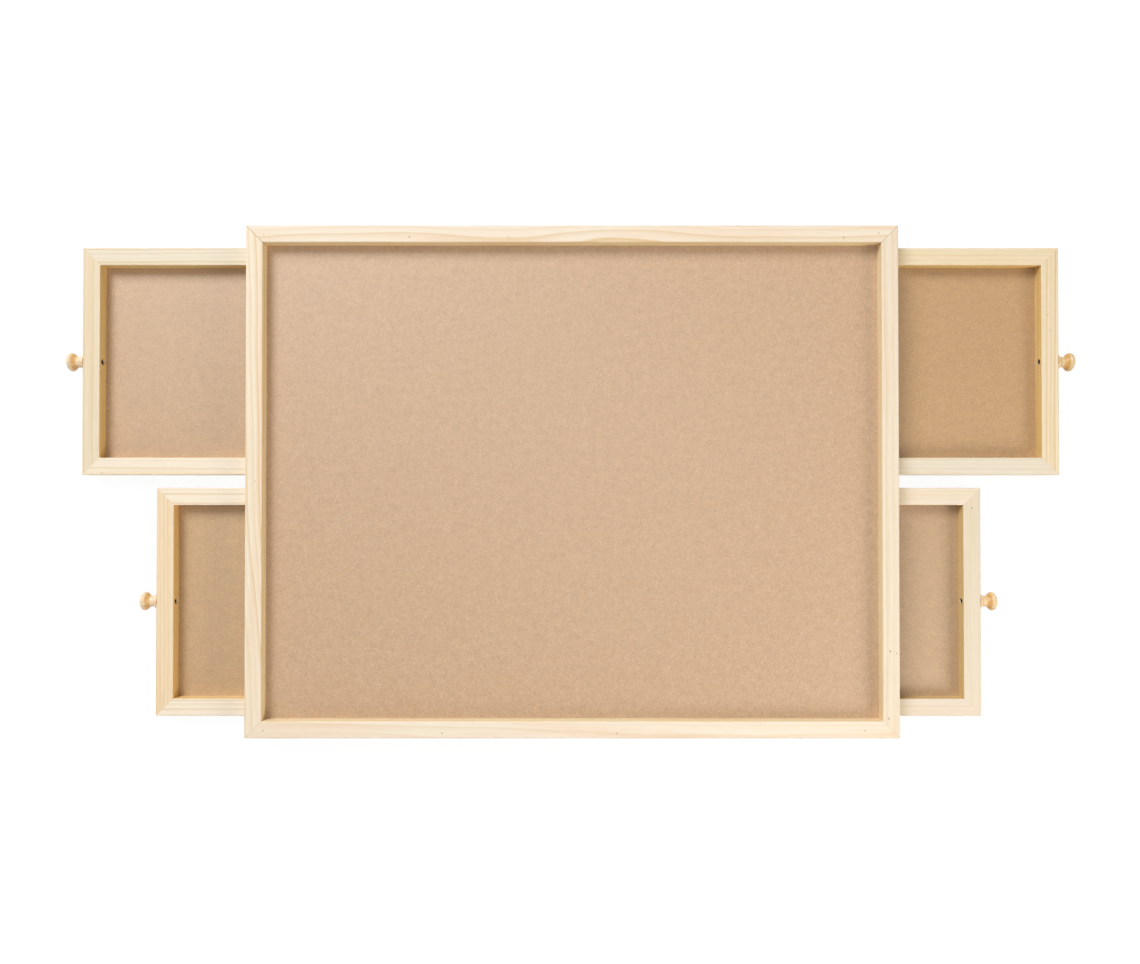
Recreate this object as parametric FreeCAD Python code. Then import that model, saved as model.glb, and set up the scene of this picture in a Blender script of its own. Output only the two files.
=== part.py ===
import FreeCAD, Part
import math
import os

from FreeCAD import Vector

# Jigsaw puzzle table: a low pine case round a sunk hardboard work board, with two shallow
# drawers in each end that hang on wooden runner strips and have a turned knob each.
# Millimetres. +X runs to the right along the long rails, +Y to the rear, +Z up.
# The origin is on the surface that the table stands on, under the middle of the case.

# Case
case_width = 890.0            # over the two end faces
case_depth = 698.0            # over the two long rails
rail_thickness = 23.0         # the width of the rim seen from above
rim_height = 18.0             # rim above the work board
board_thickness = 3.0
board_groove_depth = 7.0      # how far the work board is let into the rails
end_rail_lip = 3.0            # wood under the board's groove in an end rail
divider_thickness = 16.0
cross_rail_thickness = 22.0
rim_round = 1.5               # upper edges of the case rails
rim_corner_round = 2.0        # upright corners of the case
arris = 0.6                   # sanded edges that nobody touches

# Boards in their grooves
groove_slack = 0.2            # spare height of a groove over its board
board_edge_gap = 0.5          # edge of a board to the bottom of its groove

# Drawers
drawer_height = 24.0
drawer_strip = 24.0           # width of a drawer strip seen from above
drawer_floor_thickness = 3.0
drawer_floor_rise = 3.5       # strip below the floor's groove
drawer_floor_groove = 6.0
drawer_round = 1.2            # upper edges of the drawer strips
drawer_corner_round = 2.0     # upright corners of a drawer
drawer_side_gap = 1.0         # drawer to rail or divider, on each side
drawer_top_gap = 1.5          # drawer to the end rail above it
drawer_ground_gap = 2.5       # drawer to the surface under the table
drawer_tail_gap = 3.0         # closed drawer to the cross rail

# How far each drawer stands out of its end of the case
left_rear_pull = 236.0
left_near_pull = 132.0
right_rear_pull = 232.0
right_near_pull = 122.0

# Runner strips and the grooves that ride on them
runner_height = 8.0
runner_projection = 8.0       # how far a runner stands off its rail or divider
runner_rise = 8.0             # runner's underside above the drawer's bottom edge
runner_top_gap = 0.3          # runner to the ceiling of the drawer's groove
runner_under_gap = 0.7
runner_side_gap = 1.0         # runner to the bottom of the drawer's groove
runner_setback = 36.0         # outer end of a runner behind the end face
runner_stop_gap = 0.3         # runner's outer end to the blind end of a closed drawer's groove

# Turned knobs, measured along the axis from the drawer's face
knob_length = 24.5
knob_base_radius = 9.8
knob_foot = 2.4               # straight edge of the base
knob_neck_at = 8.0
knob_neck_radius = 7.4
knob_shoulder_at = 13.0
knob_shoulder_radius = 9.2
knob_head_at = 18.0
knob_head_radius = 13.0
knob_drop = 8.4               # axis below the drawer's upper edge

# Knob screws, each sunk in a counterbore from inside the drawer
knob_screw_radius = 2.0
knob_screw_head_radius = 3.7
knob_screw_head_height = 2.4
knob_screw_bite = 14.0        # screw in the knob
knob_pilot_spare = 1.0        # pilot hole past the screw's point
counterbore_clearance = 0.5   # screw's head to the wall of its counterbore
counterbore_depth = 2.6

# Brads: finishing nails with a small head
brad_radius = 0.7
brad_head_radius = 1.2
brad_head_height = 0.8
rim_brad_length = 32.0
rim_brad_inset = 10.0         # from the end face
drawer_brad_length = 32.0
drawer_brad_inset = 12.0      # from the drawer's face or tail
runner_brad_bite = 8.0        # brad in the rail or divider behind the runner
runner_brad_stagger = 14.0    # brads on the near side of a divider miss those on its rear side

# Dowels and screws of the case
dowel_radius = 4.0
dowel_rail_bite = 14.0        # dowel in a long rail
dowel_bar_bite = 20.0         # dowel in the cross rail's end, or in a divider's end
divider_screw_radius = 2.0
divider_screw_head_radius = 4.0
divider_screw_head_height = 2.6
divider_screw_bite = 12.0     # screw in the end rail over the divider
divider_screw_inset = 10.0    # from the end face

# Places as shares of the piece that carries them
rim_brad_shares = (0.3, 0.75)           # up the rim over the board's groove
runner_brad_shares = (0.1, 0.5, 0.88)   # along a runner from the cross rail
dowel_height_shares = (0.28, 0.72)      # up the cross rail
knob_back_share = 0.7                   # from the shoulder to the head, where the back's curve turns

# One overrun serves all cuts, and this share turns a cubic curve into a quarter ellipse
overrun = 5.0
quarter_pole_share = 0.5523

# Worked out from the sizes above
drawer_z = drawer_ground_gap
mouth_top = drawer_z + drawer_height + drawer_top_gap
board_z = mouth_top + end_rail_lip
board_groove_top = board_z + board_thickness + groove_slack
case_height = board_z + board_thickness + rim_height
case_end = case_width / 2
rail_inside = case_depth / 2 - rail_thickness
bay_inside = divider_thickness / 2
bay_width = rail_inside - bay_inside
bay_centre = bay_inside + bay_width / 2
drawer_width = bay_width - 2 * drawer_side_gap
drawer_length = case_end - cross_rail_thickness / 2 - drawer_tail_gap
runner_z = drawer_z + runner_rise
runner_start = cross_rail_thickness / 2
runner_end = case_end - runner_setback
runner_groove_depth = runner_projection - drawer_side_gap + runner_side_gap
runner_groove_low = runner_rise - runner_under_gap
runner_groove_high = runner_rise + runner_height + runner_top_gap
knob_height = drawer_height - knob_drop
counterbore_radius = knob_screw_head_radius + counterbore_clearance

Z_AXIS = Vector(0, 0, 1)
ORIGIN = Vector(0, 0, 0)

# The sides of the table, each a quarter turn about Z after the one before it
SIDES = ("rear", "left", "near", "right")


# Shapes that several pieces share


def block(x_limits, y_limits, z_limits):
    """A square block between pairs of limits."""
    low = Vector(x_limits[0], y_limits[0], z_limits[0])
    high = Vector(x_limits[1], y_limits[1], z_limits[1])
    size = high - low
    return Part.makeBox(size.x, size.y, size.z, low)


def rod(radius, start, end):
    """A round rod from one point to another."""
    along = end - start
    return Part.makeCylinder(radius, along.Length, start, along)


def placed(shape, quarter_turns, offset):
    """A copy turned about Z and then moved."""
    copy = shape.copy()
    copy.rotate(ORIGIN, Z_AXIS, math.degrees(quarter_turns * math.pi / 2))
    copy.translate(offset)
    return copy


def facing(shape, side, offset):
    """A copy of a shape whose outer face is at the rear, turned to another side and then moved."""
    return placed(shape, SIDES.index(side), offset)


def line(start, end):
    return Part.LineSegment(start, end).toShape()


def arc(start, middle, end):
    return Part.Arc(start, middle, end).toShape()


def quarter(start, corner, end):
    """A quarter ellipse from start to end that bends inside the corner."""
    curve = Part.BezierCurve()
    curve.setPoles([
        start,
        start + (corner - start) * quarter_pole_share,
        end + (corner - end) * quarter_pole_share,
        end,
    ])
    return curve.toShape()


def prism(edges, direction):
    """A solid from a closed run of edges pushed along a direction."""
    return Part.Face(Part.Wire(edges)).extrude(direction)


def rounded_edges(corners):
    """Edges of a closed outline through corners, each a point and the radius that rounds it."""
    runs = []
    for place, (point, radius) in enumerate(corners):
        back = (corners[place - 1][0] - point).normalize()
        ahead = (corners[(place + 1) % len(corners)][0] - point).normalize()
        half = back.getAngle(ahead) / 2
        reach = radius / math.tan(half)
        inward = (back + ahead).normalize()
        middle = point + inward * (radius / math.sin(half) - radius)
        runs.append((point + back * reach, middle, point + ahead * reach, radius))
    edges = []
    for place, (entry, middle, leave, radius) in enumerate(runs):
        if radius > 0:
            edges.append(arc(entry, middle, leave))
        edges.append(line(leave, runs[(place + 1) % len(runs)][0]))
    return edges


def eased_bar(length, width, height, upper_round):
    """A bar along X with its outer face at y = 0, its long edges eased."""
    start = -length / 2
    section = rounded_edges([
        (Vector(start, 0, 0), arris),
        (Vector(start, 0, height), upper_round),
        (Vector(start, -width, height), upper_round),
        (Vector(start, -width, 0), arris),
    ])
    return prism(section, Vector(length, 0, 0))


def mitred_plan(length, width, corner_round, low, high):
    """A prism that cuts a bar's ends to a mitre, with half of a rounded corner at each outer tip."""
    half = length / 2
    off = corner_round * (1 - math.sin(math.pi / 4))
    part_off = corner_round * (1 - math.cos(math.pi / 8))
    part_along = corner_round * (1 - math.sin(math.pi / 8))
    tip = Vector(half - off, -off, low)
    bend = Vector(half - part_along, -part_off, low)
    flat = Vector(half - corner_round, 0, low)
    heel = Vector(half - width, -width, low)

    def mirrored(point):
        return Vector(-point.x, point.y, point.z)

    edges = [
        arc(tip, bend, flat),
        line(flat, mirrored(flat)),
        arc(mirrored(flat), mirrored(bend), mirrored(tip)),
        line(mirrored(tip), mirrored(heel)),
        line(mirrored(heel), heel),
        line(heel, tip),
    ]
    return prism(edges, Z_AXIS * (high - low))


def inner_groove(length, width, depth, low, high):
    """The groove along a bar's inner face that takes the edge of a board."""
    return block(
        (-length / 2 - overrun, length / 2 + overrun),
        (-width - overrun, -width + depth),
        (low, high),
    )


def brad(length):
    """A finishing nail driven towards -Y, its head flush with y = 0."""
    neck = Vector(0, -brad_head_height, 0)
    head = rod(brad_head_radius, ORIGIN, neck)
    return head.fuse(rod(brad_radius, neck, Vector(0, -length, 0)))


def without(shape, *cutters):
    """The shape with every cutter taken out of it."""
    for cutter in cutters:
        shape = shape.cut(cutter)
    return shape


# Case


def long_rail():
    """A full-height rail with the work board's groove, mitred over the seats of the end rails."""
    bar = eased_bar(case_width, rail_thickness, case_height, rim_round)
    half = case_width / 2
    lower = prism(
        rounded_edges([
            (Vector(half, 0, 0), rim_corner_round),
            (Vector(-half, 0, 0), rim_corner_round),
            (Vector(-half, -rail_thickness, 0), 0),
            (Vector(half, -rail_thickness, 0), 0),
        ]),
        Z_AXIS * mouth_top,
    )
    upper = mitred_plan(case_width, rail_thickness, rim_corner_round, mouth_top, case_height)
    rail = bar.common(lower.fuse(upper)).removeSplitter()
    return rail.cut(
        inner_groove(case_width, rail_thickness, board_groove_depth, board_z, board_groove_top)
    )


def end_rail():
    """A shallow rail over two drawer mouths, mitred at both ends, with the board's groove."""
    height = case_height - mouth_top
    bar = eased_bar(case_depth, rail_thickness, height, rim_round)
    rail = bar.common(mitred_plan(case_depth, rail_thickness, rim_corner_round, 0, height))
    return rail.cut(
        inner_groove(
            case_depth, rail_thickness, board_groove_depth,
            board_z - mouth_top, board_groove_top - mouth_top,
        )
    )


def rim_brads():
    """Two brads at each mitre, driven through the long rails into the end rails."""
    nails = []
    for side, sign in (("rear", 1), ("near", -1)):
        for end in (1, -1):
            for share in rim_brad_shares:
                z = board_groove_top + share * (case_height - board_groove_top)
                place = Vector(end * (case_end - rim_brad_inset), sign * case_depth / 2, z)
                nails.append(facing(brad(rim_brad_length), side, place))
    return nails


def work_board():
    """The sunk hardboard surface, let into all four rails."""
    reach = board_groove_depth - board_edge_gap
    half_x = case_end - rail_thickness + reach
    half_y = rail_inside + reach
    return block((-half_x, half_x), (-half_y, half_y), (board_z, board_z + board_thickness))


def cross_rail():
    """The bar under the middle of the board, from one long rail to the other."""
    half = cross_rail_thickness / 2
    return block((-half, half), (-rail_inside, rail_inside), (0, board_z))


def divider():
    """The right-hand bar between two drawers, notched under its end rail."""
    bar = block((cross_rail_thickness / 2, case_end), (-bay_inside, bay_inside), (0, board_z))
    notch = block(
        (case_end - rail_thickness, case_end + overrun),
        (-bay_inside - overrun, bay_inside + overrun),
        (mouth_top, board_z + overrun),
    )
    return bar.cut(notch)


def frame_dowels():
    """Dowels from the cross rail into the long rails, and through it into both dividers."""
    dowels = []
    for share in dowel_height_shares:
        z = share * board_z
        for sign in (1, -1):
            inner = Vector(0, sign * (rail_inside - dowel_bar_bite), z)
            outer = Vector(0, sign * (rail_inside + dowel_rail_bite), z)
            dowels.append(rod(dowel_radius, inner, outer))
        reach = cross_rail_thickness / 2 + dowel_bar_bite
        dowels.append(rod(dowel_radius, Vector(-reach, 0, z), Vector(reach, 0, z)))
    return dowels


def divider_screws():
    """A countersunk screw up through each divider's outer end into the end rail."""
    screws = []
    for sign in (1, -1):
        foot = Vector(sign * (case_end - divider_screw_inset), 0, 0)
        head = Part.makeCone(
            divider_screw_head_radius, divider_screw_radius, divider_screw_head_height, foot, Z_AXIS
        )
        neck = foot + Z_AXIS * divider_screw_head_height
        point = foot + Z_AXIS * (mouth_top + divider_screw_bite)
        screws.append(head.fuse(rod(divider_screw_radius, neck, point)))
    return screws


def runner(bay):
    """A right-hand runner strip on one wall of a bay: the wall's y and the way that it faces."""
    wall, way = bay
    face = wall + way * runner_projection
    return block(
        (runner_start, runner_end),
        (min(wall, face), max(wall, face)),
        (runner_z, runner_z + runner_height),
    )


def runner_brads(bay, stagger):
    """The brads that hold one right-hand runner, their heads flush with its face."""
    wall, way = bay
    side = "rear" if way > 0 else "near"
    nails = []
    for share in runner_brad_shares:
        x = runner_start + share * (runner_end - runner_start) + stagger
        place = Vector(x, wall + way * runner_projection, runner_z + runner_height / 2)
        nails.append(facing(brad(runner_projection + runner_brad_bite), side, place))
    return nails


def case_pieces():
    """Every piece of the case, by name."""
    # The two walls of each bay: the y of the wall and the way that it faces
    bays = {
        ("rear", "outer"): (rail_inside, -1),
        ("rear", "inner"): (bay_inside, 1),
        ("near", "outer"): (-rail_inside, 1),
        ("near", "inner"): (-bay_inside, -1),
    }
    quarter_turns = {"right": 0, "left": 2}
    other_row = {"rear": "near", "near": "rear"}
    nails = []
    pieces = {}
    for (row, wall), bay in bays.items():
        stagger = runner_brad_stagger if (row, wall) == ("near", "inner") else 0
        held = runner_brads(bay, stagger)
        strip = without(runner(bay), *held)
        for end, turns in quarter_turns.items():
            # A half turn carries a right-hand runner to the other row of the left end
            row_there = row if end == "right" else other_row[row]
            pieces[f"{end}_{row_there}_{wall}_runner"] = placed(strip, turns, ORIGIN)
            nails += [placed(nail, turns, ORIGIN) for nail in held]

    corner_nails = rim_brads()
    dowels = frame_dowels()
    screws = divider_screws()
    edge = Vector(0, case_depth / 2, 0)
    end = Vector(case_end, 0, 0)
    lift = Vector(0, 0, mouth_top)
    fixings = [*corner_nails, *dowels, *screws, *nails]
    pieces.update({
        "rear_rail": without(facing(long_rail(), "rear", edge), *fixings),
        "near_rail": without(facing(long_rail(), "near", -edge), *fixings),
        "right_end_rail": without(facing(end_rail(), "right", lift + end), *fixings),
        "left_end_rail": without(facing(end_rail(), "left", lift - end), *fixings),
        "work_board": work_board(),
        "cross_rail": without(cross_rail(), *dowels),
        "right_divider": without(divider(), *fixings),
        "left_divider": without(placed(divider(), quarter_turns["left"], ORIGIN), *fixings),
        "frame_dowels": Part.makeCompound(dowels),
        "divider_screws": Part.makeCompound(screws),
        "rim_brads": Part.makeCompound(corner_nails),
        "runner_brads": Part.makeCompound(nails),
    })
    return pieces


# Drawers


def drawer_bar(length):
    """One mitred strip of a drawer, with the groove for the drawer's floor."""
    bar = eased_bar(length, drawer_strip, drawer_height, drawer_round)
    bar = bar.common(mitred_plan(length, drawer_strip, drawer_corner_round, 0, drawer_height))
    groove_top = drawer_floor_rise + drawer_floor_thickness + groove_slack
    return bar.cut(
        inner_groove(length, drawer_strip, drawer_floor_groove, drawer_floor_rise, groove_top)
    )


def runner_grooves():
    """The blind grooves along a drawer's sides, open at the tail."""
    grooves = []
    for sign in (1, -1):
        outside = sign * (drawer_width / 2 + overrun)
        bottom = sign * (drawer_width / 2 - runner_groove_depth)
        grooves.append(block(
            (-drawer_length - overrun, runner_stop_gap - runner_setback),
            (min(outside, bottom), max(outside, bottom)),
            (runner_groove_low, runner_groove_high),
        ))
    return grooves


def drawer_floor():
    """The hardboard floor, let into all four strips."""
    inset = drawer_strip - drawer_floor_groove + board_edge_gap
    half_y = drawer_width / 2 - inset
    return block(
        (inset - drawer_length, -inset),
        (-half_y, half_y),
        (drawer_floor_rise, drawer_floor_rise + drawer_floor_thickness),
    )


def drawer_brads():
    """A brad at each mitre, driven through the sides above the runner grooves."""
    z = (runner_groove_high + drawer_height) / 2
    nails = []
    for side, sign in (("rear", 1), ("near", -1)):
        for x in (-drawer_brad_inset, drawer_brad_inset - drawer_length):
            place = Vector(x, sign * drawer_width / 2, z)
            nails.append(facing(brad(drawer_brad_length), side, place))
    return nails


def knob():
    """A turned mushroom knob: flared base, waisted neck and domed head, with a pilot hole."""
    base = Vector(0, 0, knob_base_radius)
    foot = Vector(knob_foot, 0, knob_base_radius)
    neck = Vector(knob_neck_at, 0, knob_neck_radius)
    shoulder = Vector(knob_shoulder_at, 0, knob_shoulder_radius)
    head = Vector(knob_head_at, 0, knob_head_radius)
    back_at = knob_shoulder_at + knob_back_share * (knob_head_at - knob_shoulder_at)
    tip = Vector(knob_length, 0, 0)
    profile = Part.Face(Part.Wire([
        line(ORIGIN, base),
        line(base, foot),
        arc(foot, neck, shoulder),
        quarter(shoulder, Vector(back_at, 0, knob_head_radius), head),
        quarter(head, Vector(knob_length, 0, knob_head_radius), tip),
        line(tip, ORIGIN),
    ]))
    turned = profile.revolve(ORIGIN, Vector(1, 0, 0), 360)
    pilot = rod(knob_screw_radius, ORIGIN, Vector(knob_screw_bite + knob_pilot_spare, 0, 0))
    return turned.cut(pilot)


def knob_screw():
    """A pan-head screw from the bottom of the counterbore into the knob."""
    seat = Vector(counterbore_depth - drawer_strip, 0, 0)
    crown = seat - Vector(knob_screw_head_height, 0, 0)
    rim = Vector(0, 0, knob_screw_head_radius)
    head = Part.Face(Part.Wire([
        line(crown, seat),
        line(seat, seat + rim),
        quarter(seat + rim, crown + rim, crown),
    ])).revolve(ORIGIN, Vector(1, 0, 0), 360)
    return head.fuse(rod(knob_screw_radius, seat, Vector(knob_screw_bite, 0, 0)))


def drawer_pieces():
    """The pieces of one drawer: face at x = 0, tail at -drawer_length, bottom edge at z = 0."""
    nails = drawer_brads()
    grooves = runner_grooves()
    long_bar = drawer_bar(drawer_length)
    short_bar = drawer_bar(drawer_width)
    middle = Vector(-drawer_length / 2, 0, 0)
    edge = Vector(0, drawer_width / 2, 0)
    axis_height = Vector(0, 0, knob_height)
    screw_seat = Vector(counterbore_depth - drawer_strip, 0, 0) + axis_height
    screw_holes = [
        rod(counterbore_radius, axis_height - Vector(drawer_strip + overrun, 0, 0), screw_seat),
        rod(knob_screw_radius, screw_seat, axis_height + Vector(overrun, 0, 0)),
    ]
    return {
        "face": without(facing(short_bar, "right", ORIGIN), *nails, *screw_holes),
        "tail": without(facing(short_bar, "left", middle + middle), *nails, *grooves),
        "rear_side": without(facing(long_bar, "rear", middle + edge), *nails, *grooves),
        "near_side": without(facing(long_bar, "near", middle - edge), *nails, *grooves),
        "floor": drawer_floor(),
        "knob": placed(knob(), 0, axis_height),
        "knob_screw": placed(knob_screw(), 0, axis_height),
        "brads": Part.makeCompound(nails),
    }


def placed_drawers():
    """The pieces of all four drawers where they stand, by name."""
    pulls = {
        ("left", "rear"): left_rear_pull,
        ("left", "near"): left_near_pull,
        ("right", "rear"): right_rear_pull,
        ("right", "near"): right_near_pull,
    }
    drawer = drawer_pieces()
    pieces = {}
    for (end, row), pull in pulls.items():
        turns = 0 if end == "right" else 2
        x = case_end + pull if end == "right" else -case_end - pull
        y = bay_centre if row == "rear" else -bay_centre
        # A half turn swaps the two sides, so the outer one is the side that faces its long rail
        outer = "rear_side" if (end == "right") == (row == "rear") else "near_side"
        for name, shape in drawer.items():
            if name.endswith("_side"):
                name = "outer_side" if name == outer else "inner_side"
            pieces[f"{end}_{row}_drawer_{name}"] = placed(shape, turns, Vector(x, y, drawer_z))
    return pieces


def main():
    os.makedirs("parts", exist_ok=True)
    for name, shape in {**case_pieces(), **placed_drawers()}.items():
        shape.exportStep(f"parts/{name}.step")
        print(f"{name}: {len(shape.Solids)} solids, {shape.Volume:.0f} mm3, valid {shape.isValid()}")


main()
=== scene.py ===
"""Looks of a jigsaw puzzle table with four drawers, round its fixed construction.

Lengths are in millimetres unless a name or a docstring says metres, which is what Blender
works in. +X runs to the right along the long rails, +Y to the rear and +Z up.
"""
import logging
import math
import random
from dataclasses import dataclass, field, replace
from enum import Enum
from typing import Any, Sequence

import bpy
from mathutils import Euler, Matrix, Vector


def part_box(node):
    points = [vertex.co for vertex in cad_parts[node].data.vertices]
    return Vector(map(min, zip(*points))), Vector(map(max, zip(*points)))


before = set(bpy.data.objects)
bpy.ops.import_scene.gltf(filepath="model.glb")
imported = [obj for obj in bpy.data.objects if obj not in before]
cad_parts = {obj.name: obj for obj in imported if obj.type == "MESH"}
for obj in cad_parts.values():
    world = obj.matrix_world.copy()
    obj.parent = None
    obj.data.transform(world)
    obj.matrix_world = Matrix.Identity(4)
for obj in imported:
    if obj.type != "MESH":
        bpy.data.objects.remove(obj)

Tree = bpy.types.NodeTree
Socket = bpy.types.NodeSocket
Material = bpy.types.Material

LOG = logging.getLogger("puzzle_table")
MM = 0.001
IMAGE_WIDTH_PX = 1140
CHANCE_SEED = 27

# A colour mix has sockets of the same name for each kind of value, so these are its numbers
MIX_SHARE, MIX_UNDER, MIX_OVER, MIX_COLOUR = 0, 6, 7, 2

# The settings of a mix that lays one colour over another, and of one that tints it
LAID_OVER = {"data_type": "RGBA"}
TINTED = {"data_type": "RGBA", "blend_type": "MULTIPLY"}

# Noise nodes give about these values, and seldom more or less
NOISE_LOW, NOISE_HIGH = 0.3, 0.7
NOISE_SPAN = {"From Min": NOISE_LOW, "From Max": NOISE_HIGH}

# How many finer layers a noise has
SMOOTH, SOFT, FINE = 0.0, 2.0, 3.0


# Small tools


def linear(code: str) -> tuple[float, float, float, float]:
    """Turn an sRGB colour into the linear one that Blender's sockets take.

    Args:
        code: The colour as "#RRGGBB".

    Returns:
        Red, green, blue and an alpha of one.
    """
    channels = []
    for place in (1, 3, 5):
        value = int(code[place:place + 2], 16) / 255
        # The curve that the sRGB standard gives
        channels.append(value / 12.92 if value <= 0.04045 else ((value + 0.055) / 1.055) ** 2.4)
    return (*channels, 1.0)


def add(
    tree: Tree, kind: str, inputs: dict[str | int, Any] | None = None, **settings: Any
) -> bpy.types.Node:
    """Add a node to a tree.

    Args:
        tree: The tree that gets the node.
        kind: The node's type without its ShaderNode prefix.
        inputs: A value, a colour as "#RRGGBB" or a linked output for each input, by the
            input's name or number.
        **settings: The node's own settings.

    Returns:
        The new node.
    """
    made = tree.nodes.new("ShaderNode" + kind)
    for name, value in settings.items():
        setattr(made, name, value)
    for key, value in (inputs or {}).items():
        if isinstance(value, Socket):
            tree.links.new(value, made.inputs[key])
        else:
            made.inputs[key].default_value = linear(value) if isinstance(value, str) else value
    return made


def blank_material(name: str) -> Material:
    """Make a material with no nodes.

    Args:
        name: The material's name.

    Returns:
        The material.
    """
    material = bpy.data.materials.new(name)
    material.use_nodes = True
    material.node_tree.nodes.clear()
    return material


def dress(node: str, material: Material) -> None:
    """Give a node of the construction its finish, in place of the plain one that it came with.

    Args:
        node: The node's name.
        material: The finish.
    """
    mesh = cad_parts[node].data
    mesh.materials.clear()
    mesh.materials.append(material)
    LOG.info("%s is in %s", node, material.name)


def middle(node: str) -> Vector:
    """The middle of a node's box."""
    low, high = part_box(node)
    return (Vector(low) + Vector(high)) / 2 / MM


def on_table(tree: Tree) -> tuple[Socket, Socket]:
    """Where a point of a surface is in the table's frame, and the way that the surface faces there.

    Args:
        tree: The material's tree.

    Returns:
        The place in millimetres, and the normal.
    """
    coords = add(tree, "TexCoord")
    place = add(tree, "VectorMath", {
        0: coords.outputs["Object"], "Scale": 1 / MM,
    }, operation="SCALE")
    return place.outputs[0], coords.outputs["Normal"]


# Finishes


class Grain(Enum):
    """The way that the fibres of a piece run, with the turn in degrees that brings them to X."""

    ALONG_X = 0.0
    ALONG_Y = -90.0


@dataclass(frozen=True)
class PinKnot:
    """A small dark knot that runs down through a strip."""

    x: float
    y: float
    radius: float = 1.0
    depth: float = 0.8


@dataclass(frozen=True)
class GlueLine:
    """The line of a mitre as seen from above: a point on it, its direction and how dark it is."""

    x: float
    y: float
    along: tuple[float, float]
    depth: float


@dataclass(frozen=True)
class Swell:
    """A place along a piece where the rings bulge, as they do beside a branch."""

    at: float
    length: float
    height: float


@dataclass(frozen=True)
class Fleck:
    """Specks of another tone.

    A noise says where they are: none where it starts, and their share of the tone where it is full.
    """

    tone: str
    starts: float
    full: float
    share: float


@dataclass(frozen=True)
class Sawn:
    """How a piece lay in the tree that it was sawn from.

    The pith lies off the middle of the piece, to its side and below it. The rise and the
    swing, in degrees, tilt the piece against the pith, and draw long arches on its faces.
    Swells are placed along the piece from its middle, and boldness scales how far its late
    wood stands out.
    """

    grain: Grain
    pith_aside: float
    pith_below: float
    shift: float = 0.0
    rise: float = 0.0
    swing: float = 0.0
    tint: str = "#FFFFFF"
    boldness: float = 1.0
    swells: tuple[Swell, ...] = ()

    def into_log(self, tree: Tree, place: Socket, centre: Vector) -> Socket:
        """Bring a place on the piece to its place in the tree: X along the pith, Y and Z off it.

        Args:
            tree: The material's tree.
            place: The place in the table's frame.
            centre: The middle of the piece.

        Returns:
            The place in the tree.
        """
        rise, turn = math.radians(self.rise), math.radians(self.grain.value + self.swing)
        tilt = Euler((0.0, rise, turn) if self.grain is Grain.ALONG_X else (rise, 0.0, turn))
        offset = Vector((self.shift, self.pith_aside, self.pith_below)) - tilt.to_matrix() @ centre
        return add(tree, "Mapping", {
            "Vector": place, "Location": offset, "Rotation": tilt,
        }).outputs[0]


def drawn_out(tree: Tree, log: Socket, length: float, width: float, detail: float) -> Socket:
    """Noise that is drawn out along the fibres.

    Args:
        tree: The material's tree.
        log: The place in the tree.
        length: The size of a patch along the fibres.
        width: The size of a patch across them.
        detail: How many finer layers the noise has.

    Returns:
        The noise.
    """
    shrunk = add(tree, "VectorMath", {
        0: log, 1: (1 / length, 1 / width, 1 / width),
    }, operation="MULTIPLY")
    noise = add(tree, "TexNoise", {"Vector": shrunk.outputs[0], "Scale": 1.0, "Detail": detail})
    return noise.outputs["Fac"]


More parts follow.
